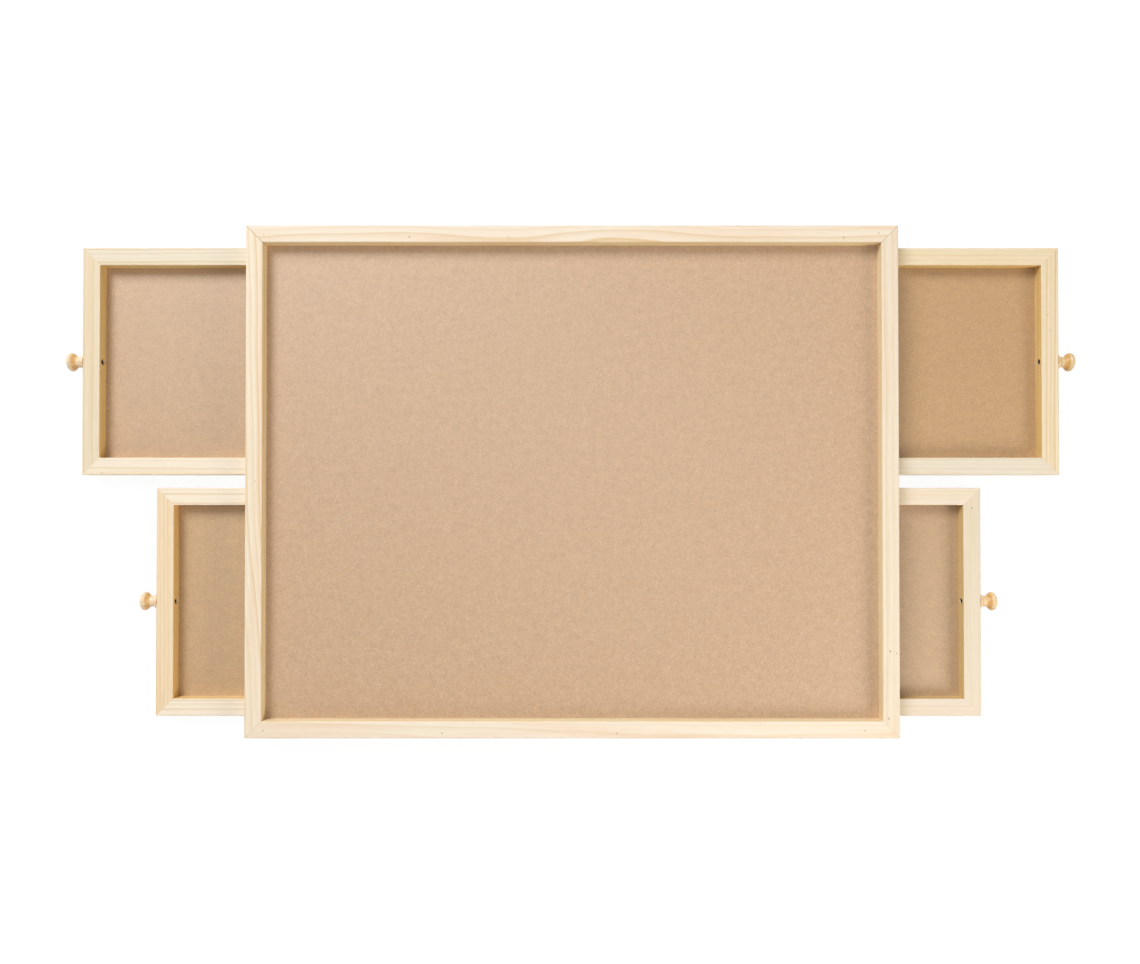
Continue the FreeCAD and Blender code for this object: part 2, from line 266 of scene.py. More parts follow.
@dataclass(frozen=True)
class Pine:
    """Pine, planed, sanded and sealed with a clear matt lacquer.

    The eye gets pale cream early wood and soft honey bands of late wood, peach patches, fine
    fibres along the strip, upright faces made more golden than the top by painted shade, and dark
    end grain.
    A year's ring has its share of late wood at each of its seasons. The spans of side and end
    grain say how far a face turns until it counts as one, and a knot's core and rim are shares
    of its radius.
    """

    early: str = "#FAEBD5"
    late: str = "#E6C38C"
    blush: str = "#F8DCC0"
    # Painted shade: upright faces are tinted by this colour, more golden and darker than the top
    side: str = "#FFFDE9"
    end_grain: str = "#EFDAB4"
    knot: str = "#7A5836"
    glue: str = "#6E5334"
    ring: float = 5.0
    ring_weight: tuple[float, float] = (0.15, 0.9)
    seasons: tuple[tuple[float, float], ...] = ((0.3, 0.05), (0.62, 0.45), (0.84, 1.0))
    wobble: float = 5.0
    wobble_length: float = 330.0
    wobble_width: float = 40.0
    # Real fibres are a few hundredths of a millimetre wide, so they are drawn as coarse as shows
    fibre_length: float = 24.0
    fibre_width: float = 1.1
    fibre_height: float = 0.03
    fibre_bump: float = 0.5
    fibre_shade: tuple[float, float] = (0.955, 1.03)
    blush_length: float = 230.0
    blush_width: float = 14.0
    blush_from: float = 0.45
    blush_share: float = 0.7
    side_span: tuple[float, float] = (0.85, 0.35)
    end_span: tuple[float, float] = (0.75, 0.95)
    knot_core: float = 0.4
    knot_rim: float = 1.5
    glue_width: float = 0.6
    roughness: tuple[float, float] = (0.5, 0.64)
    ior: float = 1.5

    def material(
        self,
        name: str,
        node: str,
        sawn: Sawn,
        knots: Sequence[PinKnot] = (),
        glue_lines: Sequence[GlueLine] = (),
    ) -> Material:
        """Make the finish of one strip.

        Args:
            name: The material's name.
            node: The strip.
            sawn: How the strip lay in its tree.
            knots: The strip's pin knots.
            glue_lines: The mitres at its ends.

        Returns:
            The material.
        """
        material = blank_material(name)
        tree = material.node_tree
        place, normal = on_table(tree)
        log = sawn.into_log(tree, place, middle(node))
        late = self._late_wood(tree, log, sawn)
        fibre = drawn_out(tree, log, self.fibre_length, self.fibre_width, FINE)
        patch = drawn_out(tree, log, self.blush_length, self.blush_width, SOFT)

        warm = add(tree, "MapRange", {
            "Value": patch, "From Min": self.blush_from, "From Max": NOISE_HIGH,
            "To Max": self.blush_share,
        })
        colour = add(tree, "Mix", {
            MIX_SHARE: warm.outputs[0], MIX_UNDER: self.early, MIX_OVER: self.blush,
        }, **LAID_OVER).outputs[MIX_COLOUR]
        colour = add(tree, "Mix", {
            MIX_SHARE: late, MIX_UNDER: colour, MIX_OVER: self.late,
        }, **LAID_OVER).outputs[MIX_COLOUR]
        shade = add(tree, "MapRange", {
            "Value": fibre, **NOISE_SPAN,
            "To Min": self.fibre_shade[0], "To Max": self.fibre_shade[1],
        })
        colour = add(tree, "VectorMath", {
            0: colour, "Scale": shade.outputs[0],
        }, operation="SCALE").outputs[0]
        colour = add(tree, "Mix", {
            MIX_SHARE: 1.0, MIX_UNDER: colour, MIX_OVER: sawn.tint,
        }, **TINTED).outputs[MIX_COLOUR]
        colour = self._by_face(tree, normal, colour, sawn.grain)
        for knot in knots:
            colour = self._with_knot(tree, place, colour, knot)
        for line in glue_lines:
            colour = self._with_glue_line(tree, place, colour, line)

        height = add(tree, "MapRange", {"Value": fibre, **NOISE_SPAN})
        bump = add(tree, "Bump", {
            "Height": height.outputs[0], "Strength": self.fibre_bump,
            "Distance": self.fibre_height * MM,
        })
        matt = add(tree, "MapRange", {
            "Value": fibre, **NOISE_SPAN, "To Min": self.roughness[0], "To Max": self.roughness[1],
        })
        shader = add(tree, "BsdfPrincipled", {
            "Base Color": colour, "Roughness": matt.outputs[0], "IOR": self.ior,
            "Normal": bump.outputs[0],
        })
        add(tree, "OutputMaterial", {"Surface": shader.outputs[0]})
        return material

    def _late_wood(self, tree: Tree, log: Socket, sawn: Sawn) -> Socket:
        """The year rings, from 0 in early wood to 1 in the darkest late wood.

        Args:
            tree: The material's tree.
            log: The place in the tree.
            sawn: How the strip lay in its tree.

        Returns:
            The share of late wood.
        """
        wobble = drawn_out(tree, log, self.wobble_length, self.wobble_width, SOFT)
        across = add(tree, "VectorMath", {0: log, 1: (0, 1, 1)}, operation="MULTIPLY")
        radius = add(tree, "VectorMath", {0: across.outputs[0]}, operation="LENGTH")
        swerve = add(tree, "Math", {
            0: wobble, 1: 2 * self.wobble, 2: radius.outputs["Value"],
        }, operation="MULTIPLY_ADD").outputs[0]
        along = add(tree, "SeparateXYZ", {0: log}).outputs[0]
        for swell in sawn.swells:
            ahead = add(tree, "Math", {0: along, 1: sawn.shift + swell.at}, operation="SUBTRACT")
            reach = add(tree, "Math", {0: ahead.outputs[0]}, operation="ABSOLUTE")
            bulge = add(tree, "MapRange", {
                "Value": reach.outputs[0], "From Max": swell.length,
                "To Min": swell.height, "To Max": 0.0,
            }, interpolation_type="SMOOTHERSTEP")
            swerve = add(tree, "Math", {0: swerve, 1: bulge.outputs[0]}, operation="ADD").outputs[0]

        years = add(tree, "Math", {0: swerve, 1: self.ring}, operation="DIVIDE")
        year = add(tree, "Math", {0: years.outputs[0]}, operation="FLOOR")
        season = add(tree, "Math", {0: years.outputs[0]}, operation="FRACT")
        ramp = add(tree, "ValToRGB", {"Fac": season.outputs[0]})
        stops = ramp.color_ramp.elements
        ramp.color_ramp.interpolation = "EASE"
        for end in (0, 1):
            stops[end].color = linear("#000000")
        for part_of_year, share in self.seasons:
            stops.new(part_of_year).color = (share, share, share, 1.0)
        chance = add(tree, "TexWhiteNoise", {"W": year.outputs[0]}, noise_dimensions="1D")
        faint, bold = (sawn.boldness * weight for weight in self.ring_weight)
        strength = add(tree, "MapRange", {
            "Value": chance.outputs["Value"], "To Min": faint, "To Max": bold,
        })
        return add(tree, "Math", {
            0: ramp.outputs["Color"], 1: strength.outputs[0],
        }, operation="MULTIPLY").outputs[0]

    def _by_face(self, tree: Tree, normal: Socket, colour: Socket, grain: Grain) -> Socket:
        """Paint shade on the upright faces, which makes them more golden, and darken those that cut
        across the fibres.

        Args:
            tree: The material's tree.
            normal: The way that the surface faces.
            colour: The colour so far.
            grain: The way that the fibres run.

        Returns:
            The colour for the face.
        """
        fibres = (1, 0, 0) if grain is Grain.ALONG_X else (0, 1, 0)
        # The upright faces get painted shade, and the faces across the fibres get the real darker
        # end grain
        faces = (((0, 0, 1), self.side_span, self.side), (fibres, self.end_span, self.end_grain))
        for axis, (starts, full), tone in faces:
            facing = add(tree, "VectorMath", {0: normal, 1: axis}, operation="DOT_PRODUCT")
            size = add(tree, "Math", {0: facing.outputs["Value"]}, operation="ABSOLUTE")
            share = add(tree, "MapRange", {
                "Value": size.outputs[0], "From Min": starts, "From Max": full,
            })
            colour = add(tree, "Mix", {
                MIX_SHARE: share.outputs[0], MIX_UNDER: colour, MIX_OVER: tone,
            }, **TINTED).outputs[MIX_COLOUR]
        return colour

    def _with_knot(self, tree: Tree, place: Socket, colour: Socket, knot: PinKnot) -> Socket:
        """Add a pin knot.

        Args:
            tree: The material's tree.
            place: The place in the table's frame.
            colour: The colour so far.
            knot: The knot.

        Returns:
            The colour with the knot.
        """
        flat = add(tree, "VectorMath", {0: place, 1: (1, 1, 0)}, operation="MULTIPLY")
        away = add(tree, "VectorMath", {
            0: flat.outputs[0], 1: (knot.x, knot.y, 0),
        }, operation="DISTANCE")
        inside = add(tree, "MapRange", {
            "Value": away.outputs["Value"], "From Min": self.knot_core * knot.radius,
            "From Max": self.knot_rim * knot.radius, "To Min": knot.depth, "To Max": 0.0,
        }, interpolation_type="SMOOTHSTEP")
        return add(tree, "Mix", {
            MIX_SHARE: inside.outputs[0], MIX_UNDER: colour, MIX_OVER: self.knot,
        }, **LAID_OVER).outputs[MIX_COLOUR]

    def _with_glue_line(self, tree: Tree, place: Socket, colour: Socket, line: GlueLine) -> Socket:
        """Add the dark line of a mitre.

        Args:
            tree: The material's tree.
            place: The place in the table's frame.
            colour: The colour so far.
            line: The mitre's line.

        Returns:
            The colour with the line.
        """
        square = Vector((-line.along[1], line.along[0], 0)).normalized()
        on_line = square.dot(Vector((line.x, line.y, 0)))
        reach = add(tree, "VectorMath", {0: place, 1: square}, operation="DOT_PRODUCT")
        away = add(tree, "Math", {0: reach.outputs["Value"], 1: on_line}, operation="SUBTRACT")
        gap = add(tree, "Math", {0: away.outputs[0]}, operation="ABSOLUTE")
        dark = add(tree, "MapRange", {
            "Value": gap.outputs[0], "From Max": self.glue_width,
            "To Min": line.depth, "To Max": 0.0,
        }, interpolation_type="SMOOTHSTEP")
        return add(tree, "Mix", {
            MIX_SHARE: dark.outputs[0], MIX_UNDER: colour, MIX_OVER: self.glue,
        }, **LAID_OVER).outputs[MIX_COLOUR]


@dataclass(frozen=True)
class Hardboard:
    """Hardboard: wood fibre pressed hot, smooth on top and marked by the press's wire screen below.

    The eye gets an even brown with fine pale and dark flecks, slow blotches and a dull sheen.
    """

    brown: str = "#BF9C77"
    flecks: tuple[Fleck, ...] = (
        Fleck("#CFB396", starts=0.54, full=0.72, share=0.6),
        Fleck("#A9845D", starts=0.46, full=0.28, share=0.55),
    )
    tint: str = "#FFFFFF"
    # Pressed fibres are a few tenths of a millimetre wide, so they are drawn as coarse as shows
    fibre_size: float = 1.4
    fibre_height: float = 0.04
    fibre_bump: float = 0.4
    fibre_shade: tuple[float, float] = (0.88, 1.12)
    fleck_size: float = 2.2
    blotch_size: float = 11.0
    blotch_shade: tuple[float, float] = (0.955, 1.045)
    screen_pitch: float = 2.4
    screen_height: float = 0.25
    below_span: tuple[float, float] = (-0.5, -0.9)
    roughness: tuple[float, float] = (0.5, 0.58)
    sheen: float = 0.75
    ior: float = 1.6

    def material(self, name: str) -> Material:
        """Make the finish of a board.

        Args:
            name: The material's name.

        Returns:
            The material.
        """
        material = blank_material(name)
        tree = material.node_tree
        place, normal = on_table(tree)
        fibre, fleck, blotch = (
            add(tree, "TexNoise", {
                "Vector": place, "Scale": 1 / size, "Detail": FINE,
            }).outputs["Fac"]
            for size in (self.fibre_size, self.fleck_size, self.blotch_size)
        )
        colour: Socket | str = self.brown
        for kind in self.flecks:
            speck = add(tree, "MapRange", {
                "Value": fleck, "From Min": kind.starts, "From Max": kind.full,
                "To Max": kind.share,
            })
            colour = add(tree, "Mix", {
                MIX_SHARE: speck.outputs[0], MIX_UNDER: colour, MIX_OVER: kind.tone,
            }, **LAID_OVER).outputs[MIX_COLOUR]
        for noise, (least, most) in ((blotch, self.blotch_shade), (fibre, self.fibre_shade)):
            shade = add(tree, "MapRange", {
                "Value": noise, **NOISE_SPAN, "To Min": least, "To Max": most,
            })
            colour = add(tree, "VectorMath", {
                0: colour, "Scale": shade.outputs[0],
            }, operation="SCALE").outputs[0]
        colour = add(tree, "Mix", {
            MIX_SHARE: 1.0, MIX_UNDER: colour, MIX_OVER: self.tint,
        }, **TINTED).outputs[MIX_COLOUR]

        screen = self._screen(tree, place, normal)
        marked = add(tree, "Bump", {"Height": screen, "Distance": self.screen_height * MM})
        bump = add(tree, "Bump", {
            "Height": fibre, "Strength": self.fibre_bump, "Distance": self.fibre_height * MM,
            "Normal": marked.outputs[0],
        })
        dull = add(tree, "MapRange", {
            "Value": fleck, **NOISE_SPAN, "To Min": self.roughness[0], "To Max": self.roughness[1],
        })
        shader = add(tree, "BsdfPrincipled", {
            "Base Color": colour, "Roughness": dull.outputs[0], "IOR": self.ior,
            "Specular IOR Level": self.sheen, "Normal": bump.outputs[0],
        })
        add(tree, "OutputMaterial", {"Surface": shader.outputs[0]})
        return material

    def _screen(self, tree: Tree, place: Socket, normal: Socket) -> Socket:
        """The marks of the press's wire screen, on the face below only.

        Args:
            tree: The material's tree.
            place: The place in the table's frame.
            normal: The way that the surface faces.

        Returns:
            The height of the marks.
        """
        turns = add(tree, "VectorMath", {
            0: place, "Scale": 2 * math.pi / self.screen_pitch,
        }, operation="SCALE")
        waves = add(tree, "VectorMath", {0: turns.outputs[0]}, operation="SINE")
        parts = add(tree, "SeparateXYZ", {0: waves.outputs[0]})
        weave = add(tree, "Math", {0: parts.outputs[0], 1: parts.outputs[1]}, operation="MULTIPLY")
        facing = add(tree, "SeparateXYZ", {0: normal})
        starts, full = self.below_span
        below = add(tree, "MapRange", {
            "Value": facing.outputs[2], "From Min": starts, "From Max": full,
        })
        return add(tree, "Math", {
            0: weave.outputs[0], 1: below.outputs[0],
        }, operation="MULTIPLY").outputs[0]


@dataclass(frozen=True)
class TurnedBirch:
    """Birch, turned on a lathe and dipped in clear satin lacquer.

    The eye gets a pale honey tan with darker streaks along the axis, faint rings from the tool,
    a golden band behind the head, which is painted shade where the head's back faces the drawer,
    and a soft highlight.
    """

    light: str = "#F8E2C0"
    dark: str = "#E8C694"
    # Painted shade: a golden band behind the head, between these distances from the knob's base
    painted_back_shade: str = "#EFD5A8"
    painted_back_shade_from: float = 8.4
    painted_back_shade_to: float = 14.6
    painted_back_shade_edge: float = 1.3
    streak_length: float = 18.0
    streak_width: float = 2.2
    streak_share: float = 0.8
    # The rings of a lathe tool are a few tenths of a millimetre apart, so they are drawn as
    # coarse as shows
    tool_pitch: float = 1.3
    tool_height: float = 0.05
    tool_bump: float = 0.3
    tool_shade: tuple[float, float] = (0.96, 1.03)
    roughness: tuple[float, float] = (0.3, 0.42)
    ior: float = 1.5

    def material(self, name: str, node: str, sawn: Sawn) -> Material:
        """Make the finish of a knob.

        Args:
            name: The material's name.
            node: The knob.
            sawn: How the knob's blank lay in its tree.

        Returns:
            The material.
        """
        material = blank_material(name)
        tree = material.node_tree
        place, _ = on_table(tree)
        log = sawn.into_log(tree, place, middle(node))
        streak = drawn_out(tree, log, self.streak_length, self.streak_width, FINE)
        rings = add(tree, "VectorMath", {
            0: place, 1: (1 / self.tool_pitch, 0, 0),
        }, operation="MULTIPLY")
        tool = add(tree, "TexNoise", {"Vector": rings.outputs[0], "Scale": 1.0}).outputs["Fac"]

        share = add(tree, "MapRange", {"Value": streak, **NOISE_SPAN, "To Max": self.streak_share})
        colour = add(tree, "Mix", {
            MIX_SHARE: share.outputs[0], MIX_UNDER: self.light, MIX_OVER: self.dark,
        }, **LAID_OVER).outputs[MIX_COLOUR]
        shade = add(tree, "MapRange", {
            "Value": tool, **NOISE_SPAN, "To Min": self.tool_shade[0], "To Max": self.tool_shade[1],
        })
        colour = add(tree, "VectorMath", {
            0: colour, "Scale": shade.outputs[0],
        }, operation="SCALE").outputs[0]
        # The piece's tint, then the painted shade behind the head
        for amount, tone in ((1.0, sawn.tint), (self._painted_back_shade(tree, place, node), self.painted_back_shade)):
            colour = add(tree, "Mix", {
                MIX_SHARE: amount, MIX_UNDER: colour, MIX_OVER: tone,
            }, **TINTED).outputs[MIX_COLOUR]

        bump = add(tree, "Bump", {
            "Height": tool, "Strength": self.tool_bump, "Distance": self.tool_height * MM,
        })
        satin = add(tree, "MapRange", {
            "Value": streak, **NOISE_SPAN, "To Min": self.roughness[0], "To Max": self.roughness[1],
        })
        shader = add(tree, "BsdfPrincipled", {
            "Base Color": colour, "Roughness": satin.outputs[0], "IOR": self.ior,
            "Normal": bump.outputs[0],
        })
        add(tree, "OutputMaterial", {"Surface": shader.outputs[0]})
        return material

    def _painted_back_shade(self, tree: Tree, place: Socket, node: str) -> Socket:
        """Where the painted shade lies: a band round the knob behind its head, measured from its
        base.

        Args:
            tree: The material's tree.
            place: The place in the table's frame.
            node: The knob.

        Returns:
            1 in the band and 0 off it.
        """
        low, high = (corner[0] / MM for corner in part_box(node))
        base = low if low + high > 0 else high
        along = add(tree, "SeparateXYZ", {0: place}).outputs[0]
        offset = add(tree, "Math", {0: along, 1: base}, operation="SUBTRACT")
        reach = add(tree, "Math", {0: offset.outputs[0]}, operation="ABSOLUTE").outputs[0]
        starts, ends = (
            add(tree, "MapRange", {
                "Value": reach, "From Min": none, "From Max": full,
            }, interpolation_type="SMOOTHSTEP").outputs[0]
            for none, full in (
                (self.painted_back_shade_from, self.painted_back_shade_from + 2 * self.painted_back_shade_edge),
                (self.painted_back_shade_to + self.painted_back_shade_edge, self.painted_back_shade_to),
            )
        )
        return add(tree, "Math", {0: starts, 1: ends}, operation="MULTIPLY").outputs[0]


@dataclass(frozen=True)
class PlanedBeech:
    """Beech, planed and left bare: pinkish tan with fine short flecks along the fibres."""

    light: str = "#DDBB93"
    dark: str = "#C79E71"
    fleck: Fleck = Fleck("#A97F55", starts=0.64, full=0.72, share=0.6)
    tone_length: float = 120.0
    tone_width: float = 6.0
    # The rays that show as flecks are finer than this, and are drawn as coarse as shows
    fleck_length: float = 2.6
    fleck_width: float = 0.55
    fleck_height: float = 0.05
    fleck_bump: float = 0.3
    roughness: tuple[float, float] = (0.55, 0.7)
    ior: float = 1.5

    def material(self, name: str, node: str, sawn: Sawn) -> Material:
        """Make the finish of a runner or a dowel.

        Args:
            name: The material's name.
            node: The piece.
            sawn: How the piece lay in its tree.

        Returns:
            The material.
        """
        material = blank_material(name)
        tree = material.node_tree
        place, _ = on_table(tree)
        log = sawn.into_log(tree, place, middle(node))
        tone = drawn_out(tree, log, self.tone_length, self.tone_width, FINE)
        speck = drawn_out(tree, log, self.fleck_length, self.fleck_width, SMOOTH)

        darker = add(tree, "MapRange", {"Value": tone, **NOISE_SPAN})
        colour = add(tree, "Mix", {
            MIX_SHARE: darker.outputs[0], MIX_UNDER: self.light, MIX_OVER: self.dark,
        }, **LAID_OVER).outputs[MIX_COLOUR]
        share = add(tree, "MapRange", {
            "Value": speck, "From Min": self.fleck.starts, "From Max": self.fleck.full,
            "To Max": self.fleck.share,
        })
        colour = add(tree, "Mix", {
            MIX_SHARE: share.outputs[0], MIX_UNDER: colour, MIX_OVER: self.fleck.tone,
        }, **LAID_OVER).outputs[MIX_COLOUR]

        bump = add(tree, "Bump", {
            "Height": speck, "Strength": self.fleck_bump, "Distance": self.fleck_height * MM,
        })
        bare = add(tree, "MapRange", {
            "Value": tone, **NOISE_SPAN, "To Min": self.roughness[0], "To Max": self.roughness[1],
        })
        shader = add(tree, "BsdfPrincipled", {
            "Base Color": colour, "Roughness": bare.outputs[0], "IOR": self.ior,
            "Normal": bump.outputs[0],
        })
        add(tree, "OutputMaterial", {"Surface": shader.outputs[0]})
        return material


@dataclass(frozen=True)
class FixingSteel:
    """Drawn steel wire with bright zinc plating: a cool grey metal with a slightly cloudy shine.

    Blackened in hot salts instead, it has a skin of oxide that is hardly a metal to the eye.
    """

    tone: str = "#B9BCC0"
    metallic: float = 1.0
    cloud_size: float = 0.8
    roughness: tuple[float, float] = (0.24, 0.42)
    sheen: float = 0.5

    def material(self, name: str) -> Material:
        """Make the finish of the fixings.

        Args:
            name: The material's name.

        Returns:
            The material.
        """
        material = blank_material(name)
        tree = material.node_tree
        place, _ = on_table(tree)
        cloud = add(tree, "TexNoise", {"Vector": place, "Scale": 1 / self.cloud_size})
        shine = add(tree, "MapRange", {
            "Value": cloud.outputs["Fac"], **NOISE_SPAN,
            "To Min": self.roughness[0], "To Max": self.roughness[1],
        })
        shader = add(tree, "BsdfPrincipled", {
            "Base Color": self.tone, "Metallic": self.metallic, "Roughness": shine.outputs[0],
            "Specular IOR Level": self.sheen,
        })
        add(tree, "OutputMaterial", {"Surface": shader.outputs[0]})
        return material


@dataclass(frozen=True)
class Finishes:
    """The finishes of the whole table."""

    rim_pine: Pine = Pine()
    drawer_pine: Pine = Pine(
        # The drawers' side colour paints stronger shade on their upright faces
        late="#E2C38F", blush="#F6E0BE", side="#F6E6B8", ring=5.5, ring_weight=(0.05, 0.6),
        wobble=3.0, wobble_width=18.0,
    )
    board: Hardboard = Hardboard()
    birch: TurnedBirch = TurnedBirch()
    beech: PlanedBeech = PlanedBeech()
    zinc: FixingSteel = FixingSteel()
    blackened: FixingSteel = FixingSteel("#1A140F", metallic=0.0, roughness=(0.5, 0.65), sheen=0.2)


# The table


def mitres(
    strips: Sequence[str], depths: Sequence[float], slack: float = 1.0
) -> dict[str, list[GlueLine]]:
    """The glue lines at the four corners of a mitred frame.

    Args:
        strips: The four strips of the frame.
        depths: How dark the lines are, at the rear left, rear right, near right and near left.
        slack: How far a strip's box may end from a corner that it reaches.

    Returns:
        The two lines of each strip.
    """
    boxes = {strip: [Vector(corner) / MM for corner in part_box(strip)] for strip in strips}
    left, near = (min(low[axis] for low, _ in boxes.values()) for axis in (0, 1))
    right, rear = (max(high[axis] for _, high in boxes.values()) for axis in (0, 1))
    falling, rising = (1.0, -1.0), (1.0, 1.0)
    corners = (
        (left, rear, falling), (right, rear, rising), (right, near, falling), (left, near, rising),
    )
    lines = [GlueLine(*corner, depth) for corner, depth in zip(corners, depths)]
    return {
        strip: [
            line for line in lines
            if low.x - slack < line.x < high.x + slack and low.y - slack < line.y < high.y + slack
        ]
        for strip, (low, high) in boxes.items()
    }


class Cut(Enum):
    """How a piece is cut: how far the pith lies to its side and below it, least and most."""

    QUARTERED = ((55.0, 120.0), (10.0, 35.0))
    FLAT = ((5.0, 35.0), (40.0, 90.0))


def chance_sawn(
    rng: random.Random,
    node: str,
    cut: Cut,
    shift: float = 4000.0,
    rise: float = 0.7,
    swing: float = 0.5,
) -> Sawn:
    """Pick how a piece lay in its tree.

    Args:
        rng: The source of chance.
        node: The piece.
        cut: How the piece is cut. Quartered ones show straight lines on top.
        shift: How far along the tree the piece may lie, either way.
        rise: How many degrees it may rise against the pith, either way.
        swing: How many degrees it may swing from the pith, either way.

    Returns:
        How the piece lay.
    """
    low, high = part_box(node)
    grain = Grain.ALONG_X if high[0] - low[0] > high[1] - low[1] else Grain.ALONG_Y
    to_the_side, beneath = cut.value
    aside = rng.choice((-1, 1)) * rng.uniform(*to_the_side)
    below = rng.uniform(*beneath)
    return Sawn(grain, aside, below, *(rng.uniform(-most, most) for most in (shift, rise, swing)))


@dataclass
class Case:
    """The fixed case: the rim round the sunk work board, and the bars and runners under it."""

    finishes: Finishes
    rng: random.Random
    mitre_depths: tuple[float, float, float, float] = (0.75, 0.5, 0.25, 0.25)
    rails: dict[str, Sawn] = field(default_factory=lambda: {
        "rear_rail": Sawn(
            Grain.ALONG_X, pith_aside=24.0, pith_below=26.0, rise=0.1, swing=0.1,
            tint="#F7F5F0", boldness=1.3,
            swells=(
                Swell(at=74.0, length=170.0, height=-4.0),
                Swell(at=-300.0, length=200.0, height=-3.0),
            ),
        ),
        "near_rail": Sawn(
            Grain.ALONG_X, pith_aside=28.0, pith_below=42.0, shift=1500.0, rise=-0.4, swing=0.3,
            tint="#F9F8F4", boldness=0.35,
        ),
        "left_end_rail": Sawn(
            Grain.ALONG_Y, pith_aside=-40.0, pith_below=45.0, shift=700.0, rise=0.5, swing=-0.5,
            tint="#F8F6EE", boldness=0.85, swells=(Swell(at=-290.0, length=330.0, height=-10.0),),
        ),
        "right_end_rail": Sawn(
            Grain.ALONG_Y, pith_aside=34.0, pith_below=50.0, shift=-900.0, rise=-0.5, swing=0.4,
            tint="#F1EFE8", boldness=0.4,
        ),
    })
    knots: dict[str, tuple[PinKnot, ...]] = field(default_factory=lambda: {
        "rear_rail": (
            PinKnot(-222.0, 333.4),
            PinKnot(418.0, 338.1, radius=1.1, depth=0.5),
            PinKnot(-420.7, 336.4, radius=0.8, depth=0.35),
            PinKnot(370.6, 332.2, radius=1.8, depth=0.3),
            PinKnot(-86.6, 332.4, radius=2.2, depth=0.13),
        ),
        "near_rail": (
            PinKnot(-419.5, -338.4, depth=0.6),
            PinKnot(396.9, -338.4, depth=0.6),
            PinKnot(-176.5, -341.9, depth=0.65),
            PinKnot(60.5, -341.9, depth=0.55),
        ),
        "left_end_rail": (PinKnot(-431.3, -0.3, depth=0.4),),
        "right_end_rail": (
            PinKnot(431.7, -230.9, radius=1.3, depth=0.6),
            PinKnot(440.4, -233.7, depth=0.5),
            PinKnot(429.5, -322.0, radius=1.6, depth=0.4),
        ),
    })

    def build(self) -> None:
        """Dress every piece of the case."""
        self._dress_rim()
        self._dress_inside()
        dress("work_board", self.finishes.board.material("hardboard_work_board"))
        zinc = self.finishes.zinc.material("zinc_plated_steel_case")
        for node in ("rim_brads", "divider_screws", "runner_brads"):
            dress(node, zinc)

    def _dress_rim(self) -> None:
        """Dress the four rails of the rim."""
        lines = mitres(list(self.rails), self.mitre_depths)
        for node, sawn in self.rails.items():
            dress(node, self.finishes.rim_pine.material(
                f"lacquered_pine_{node}", node, sawn, self.knots.get(node, ()), lines[node]))

    def _dress_inside(self) -> None:
        """Dress the bars, runners and dowels."""
        for node in ("cross_rail", "left_divider", "right_divider"):
            sawn = chance_sawn(self.rng, node, Cut.FLAT)
            dress(node, self.finishes.rim_pine.material(f"lacquered_pine_{node}", node, sawn))
        for node in sorted(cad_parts):
            if node.endswith("_runner") or node == "frame_dowels":
                sawn = chance_sawn(self.rng, node, Cut.QUARTERED)
                dress(node, self.finishes.beech.material(f"planed_beech_{node}", node, sawn))


@dataclass(frozen=True)
class Shade:
    """How a piece differs from its finish: a tint, and how far its late wood stands out."""

    tint: str = "#FFFFFF"
    boldness: float = 1.0


@dataclass
class Drawer:
    """One drawer: four mitred strips, a hardboard floor and a turned knob.

    The knob's blank lies somewhere in its tree, within the given reach of the pith.
    """

    name: str
    finishes: Finishes
    rng: random.Random
    shades: dict[str, Shade] = field(default_factory=dict)
    knots: dict[str, tuple[PinKnot, ...]] = field(default_factory=dict)
    mitre_depths: tuple[float, float, float, float] = (0.1, 0.1, 0.1, 0.1)
    blank_aside: tuple[float, float] = (-60.0, 60.0)
    blank_below: tuple[float, float] = (20.0, 60.0)
    blank_shift: tuple[float, float] = (-900.0, 900.0)

    def node(self, piece: str) -> str:
        """The name of the node of a piece."""
        return f"{self.name}_{piece}"

    def shade(self, piece: str) -> Shade:
        """The shade of a piece, which is the plain one where none is given."""
        return self.shades.get(piece, Shade())

    def build(self) -> None:
        """Dress every piece of the drawer."""
        self._dress_strips()
        floor = replace(self.finishes.board, tint=self.shade("floor").tint)
        dress(self.node("floor"), floor.material(f"hardboard_{self.name}"))
        self._dress_knob()
        blackened = self.finishes.blackened.material(f"blackened_steel_{self.name}")
        dress(self.node("knob_screw"), blackened)
        zinc = self.finishes.zinc.material(f"zinc_plated_steel_{self.name}")
        dress(self.node("brads"), zinc)

    def _dress_strips(self) -> None:
        """Dress the four strips, each sawn from a place of its own."""
        strips = ("face", "tail", "outer_side", "inner_side")
        lines = mitres([self.node(piece) for piece in strips], self.mitre_depths)
        for piece in strips:
            node, shade = self.node(piece), self.shade(piece)
            sawn = chance_sawn(self.rng, node, Cut.QUARTERED)
            sawn = replace(sawn, tint=shade.tint, boldness=shade.boldness)
            dress(node, self.finishes.drawer_pine.material(
                f"lacquered_pine_{node}", node, sawn, self.knots.get(piece, ()), lines[node]))

    def _dress_knob(self) -> None:
        """Dress the knob."""
        knob = self.node("knob")
        reaches = (self.blank_aside, self.blank_below, self.blank_shift)
        aside, below, shift = (self.rng.uniform(*reach) for reach in reaches)
        blank = Sawn(Grain.ALONG_X, aside, below, shift, tint=self.shade("knob").tint)
        dress(knob, self.finishes.birch.material(f"turned_birch_{knob}", knob, blank))
